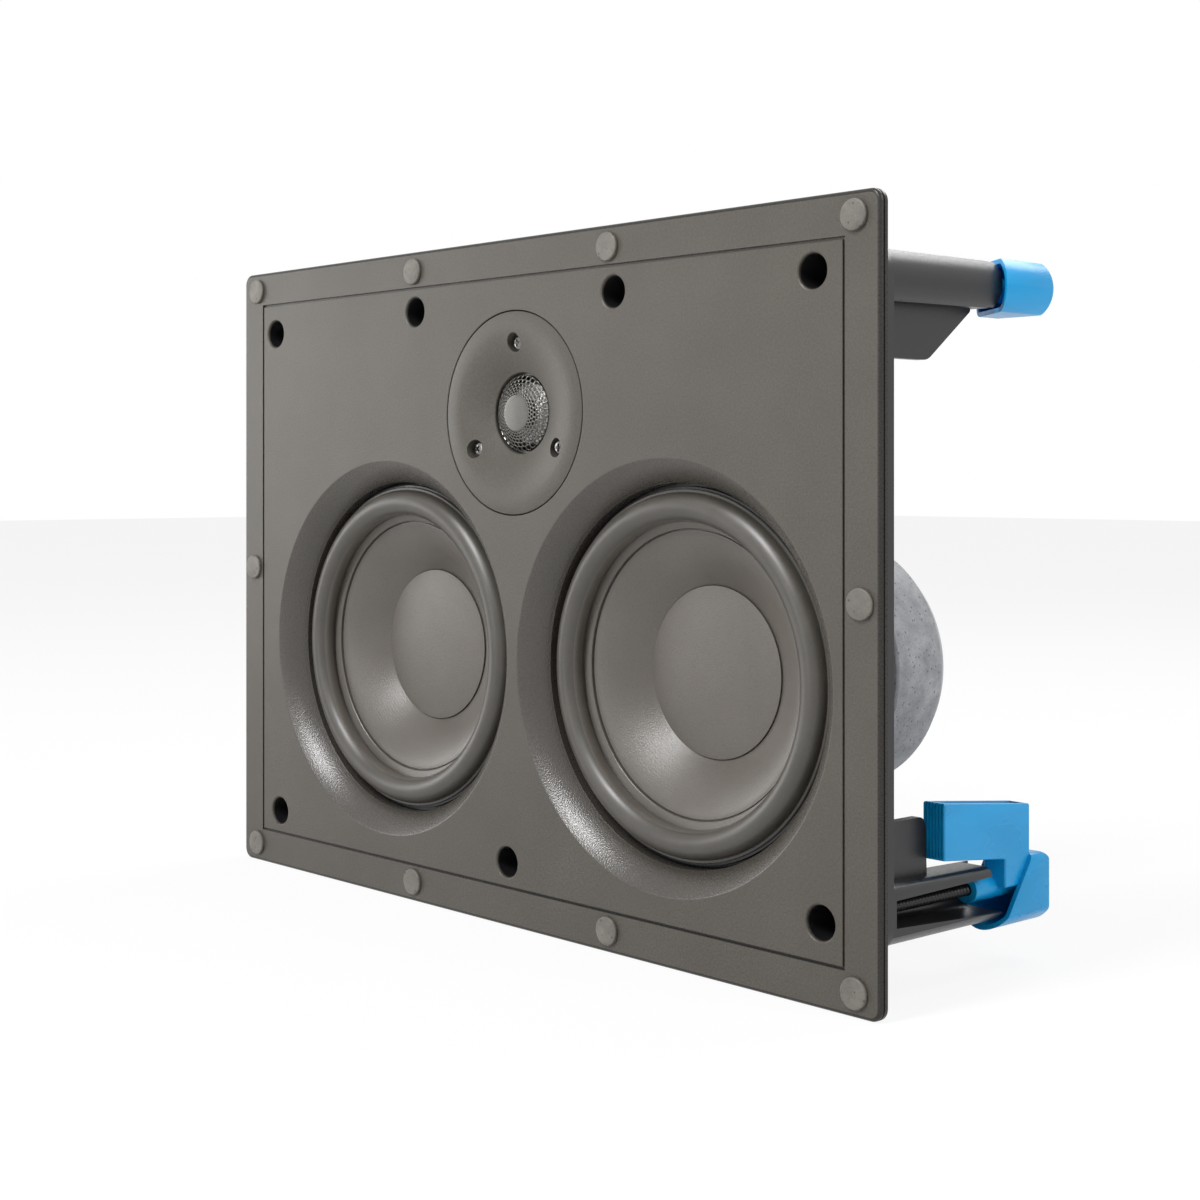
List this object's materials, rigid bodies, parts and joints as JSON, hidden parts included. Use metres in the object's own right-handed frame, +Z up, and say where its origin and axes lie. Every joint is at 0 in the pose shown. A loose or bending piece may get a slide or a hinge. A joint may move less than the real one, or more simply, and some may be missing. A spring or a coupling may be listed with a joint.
{
  "type": "in wall speaker",
  "caption": "Landscape in-wall loudspeaker without its grille: moulded baffle with flared woofer mouths, tweeter, blue swing-out clamps on slotted posts.",
  "frame": {"origin": "centre of the baffle flange's rear face, which bears on the wall", "axes": "+Z up, the front faces -Y, +Y runs into the wall, +X to the right seen from the front"},
  "size_m": [0.3236, 0.1052, 0.237],
  "materials": {
    "baffle": "fine spark-eroded grain, dark warm grey",
    "magnet_disc": "dull nickel-plated, mottled",
    "faceplate": "fine grain, dark warm grey",
    "lens": "dark chrome, perforated",
    "dome": "black coated silk",
    "rubber": "satin black",
    "foam": "black foam",
    "cone": "satin warm grey",
    "spider_cloth": "impregnated cotton",
    "former": "satin",
    "basket": "black powder coat",
    "plated_steel": "zinc plated",
    "ferrite": "light grey, finely pitted",
    "tag_board": "green fibre board with plated tags",
    "bright_steel": "polished",
    "black_steel": "black plated thread",
    "clamp_blue": "glossy sky blue",
    "chamber": "black",
    "circuit_board": "green solder mask",
    "copper": "enamelled copper wire on black flanges",
    "capacitor": "ochre",
    "resistor": "white cement",
    "terminal": "black",
    "red": "red"
  },
  "bodies": {
    "frame": {"baffle_frame": "baffle", "grille_magnets": "magnet_disc", "tweeter_faceplate": "faceplate", "tweeter_lens": "lens", "tweeter_surround": "rubber", "tweeter_top_plate": "plated_steel", "tweeter_magnet": "ferrite", "tweeter_back_plate": "plated_steel", "tweeter_rear_chamber": "chamber", "tweeter_screws": "bright_steel", "left_woofer_basket": "basket", "left_woofer_gasket": "foam", "left_woofer_surround": "rubber", "left_woofer_spider": "spider_cloth", "left_woofer_top_plate": "plated_steel", "left_woofer_magnet": "ferrite", "left_woofer_back_plate": "plated_steel", "left_woofer_terminals": "tag_board", "left_woofer_screws": "black_steel", "right_woofer_basket": "basket", "right_woofer_gasket": "foam", "right_woofer_surround": "rubber", "right_woofer_spider": "spider_cloth", "right_woofer_top_plate": "plated_steel", "right_woofer_magnet": "ferrite", "right_woofer_back_plate": "plated_steel", "right_woofer_terminals": "tag_board", "right_woofer_screws": "black_steel", "crossover_board": "circuit_board", "crossover_screws": "plated_steel", "crossover_large_coil": "copper", "crossover_small_coil": "copper", "crossover_large_capacitor": "capacitor", "crossover_small_capacitor": "capacitor", "crossover_resistor": "resistor", "terminal_block": "terminal"},
    "tweeter_diaphragm": {"tweeter_dome": "dome"},
    "left_cone_assembly": {"left_woofer_cone": "cone", "left_woofer_dust_cap": "cone", "left_woofer_voice_coil": "former"},
    "right_cone_assembly": {"right_woofer_cone": "cone", "right_woofer_dust_cap": "cone", "right_woofer_voice_coil": "former"},
    "dog_top_left": {"clamp_dog_top_left": "clamp_blue"},
    "screw_top_left": {"clamp_screw_top_left": "black_steel"},
    "dog_top_middle_left": {"clamp_dog_top_middle_left": "clamp_blue"},
    "screw_top_middle_left": {"clamp_screw_top_middle_left": "black_steel"},
    "dog_top_middle_right": {"clamp_dog_top_middle_right": "clamp_blue"},
    "screw_top_middle_right": {"clamp_screw_top_middle_right": "black_steel"},
    "dog_top_right": {"clamp_dog_top_right": "clamp_blue"},
    "screw_top_right": {"clamp_screw_top_right": "black_steel"},
    "dog_bottom_left": {"clamp_dog_bottom_left": "clamp_blue"},
    "screw_bottom_left": {"clamp_screw_bottom_left": "black_steel"},
    "dog_bottom_middle": {"clamp_dog_bottom_middle": "clamp_blue"},
    "screw_bottom_middle": {"clamp_screw_bottom_middle": "black_steel"},
    "dog_bottom_right": {"clamp_dog_bottom_right": "clamp_blue"},
    "screw_bottom_right": {"clamp_screw_bottom_right": "black_steel"},
    "red_button": {"terminal_button_red": "red"},
    "black_button": {"terminal_button_black": "terminal"}
  },
  "joints": [
    {"name": "left_cone_travel", "type": "slide", "parent": "frame", "child": "left_cone_assembly", "axis": [0, 1, 0], "range_m": [-0.004, 0.004], "stiffness_N_per_m": 1200, "deforming": ["left_woofer_surround", "left_woofer_spider"]},
    {"name": "right_cone_travel", "type": "slide", "parent": "frame", "child": "right_cone_assembly", "axis": [0, 1, 0], "range_m": [-0.004, 0.004], "stiffness_N_per_m": 1200, "deforming": ["right_woofer_surround", "right_woofer_spider"]},
    {"name": "tweeter_diaphragm_travel", "type": "slide", "parent": "frame", "child": "tweeter_diaphragm", "axis": [0, 1, 0], "range_m": [-0.0003, 0.0003], "stiffness_N_per_m": 1500, "deforming": ["tweeter_surround"]},
    {"name": "dog_swing_top_left", "type": "hinge", "parent": "frame", "child": "dog_top_left", "pos_m": [-0.13975, 0, 0.0935], "axis": [0, 1, 0], "range_deg": [0, 90]},
    {"name": "screw_turn_top_left", "type": "hinge", "parent": "frame", "child": "screw_top_left", "pos_m": [-0.13975, 0, 0.0935], "axis": [0, 1, 0], "continuous": true},
    {"name": "dog_swing_top_middle_left", "type": "hinge", "parent": "frame", "child": "dog_top_middle_left", "pos_m": [-0.05025, 0, 0.0965], "axis": [0, 1, 0], "range_deg": [0, 90]},
    {"name": "screw_turn_top_middle_left", "type": "hinge", "parent": "frame", "child": "screw_top_middle_left", "pos_m": [-0.05025, 0, 0.0965], "axis": [0, 1, 0], "continuous": true},
    {"name": "dog_swing_top_middle_right", "type": "hinge", "parent": "frame", "child": "dog_top_middle_right", "pos_m": [0.05325, 0, 0.0965], "axis": [0, 1, 0], "range_deg": [0, 90]},
    {"name": "screw_turn_top_middle_right", "type": "hinge", "parent": "frame", "child": "screw_top_middle_right", "pos_m": [0.05325, 0, 0.0965], "axis": [0, 1, 0], "continuous": true},
    {"name": "dog_swing_top_right", "type": "hinge", "parent": "frame", "child": "dog_top_right", "pos_m": [0.13675, 0, 0.0965], "axis": [0, 1, 0], "range_deg": [0, 90]},
    {"name": "screw_turn_top_right", "type": "hinge", "parent": "frame", "child": "screw_top_right", "pos_m": [0.13675, 0, 0.0965], "axis": [0, 1, 0], "continuous": true},
    {"name": "dog_swing_bottom_left", "type": "hinge", "parent": "frame", "child": "dog_bottom_left", "pos_m": [-0.13675, 0, -0.0965], "axis": [0, 1, 0], "range_deg": [0, 90]},
    {"name": "screw_turn_bottom_left", "type": "hinge", "parent": "frame", "child": "screw_bottom_left", "pos_m": [-0.13675, 0, -0.0965], "axis": [0, 1, 0], "continuous": true},
    {"name": "dog_swing_bottom_middle", "type": "hinge", "parent": "frame", "child": "dog_bottom_middle", "pos_m": [0.0009, 0, -0.0965], "axis": [0, 1, 0], "range_deg": [0, 90]},
    {"name": "screw_turn_bottom_middle", "type": "hinge", "parent": "frame", "child": "screw_bottom_middle", "pos_m": [0.0009, 0, -0.0965], "axis": [0, 1, 0], "continuous": true},
    {"name": "dog_swing_bottom_right", "type": "hinge", "parent": "frame", "child": "dog_bottom_right", "pos_m": [0.13975, 0, -0.0935], "axis": [0, 1, 0], "range_deg": [0, 90]},
    {"name": "screw_turn_bottom_right", "type": "hinge", "parent": "frame", "child": "screw_bottom_right", "pos_m": [0.13975, 0, -0.0935], "axis": [0, 1, 0], "continuous": true},
    {"name": "red_button_push", "type": "slide", "parent": "frame", "child": "red_button", "axis": [0, -1, 0], "range_m": [0, 0.002], "stiffness_N_per_m": 400},
    {"name": "black_button_push", "type": "slide", "parent": "frame", "child": "black_button", "axis": [0, -1, 0], "range_m": [0, 0.002], "stiffness_N_per_m": 400}
  ]
}
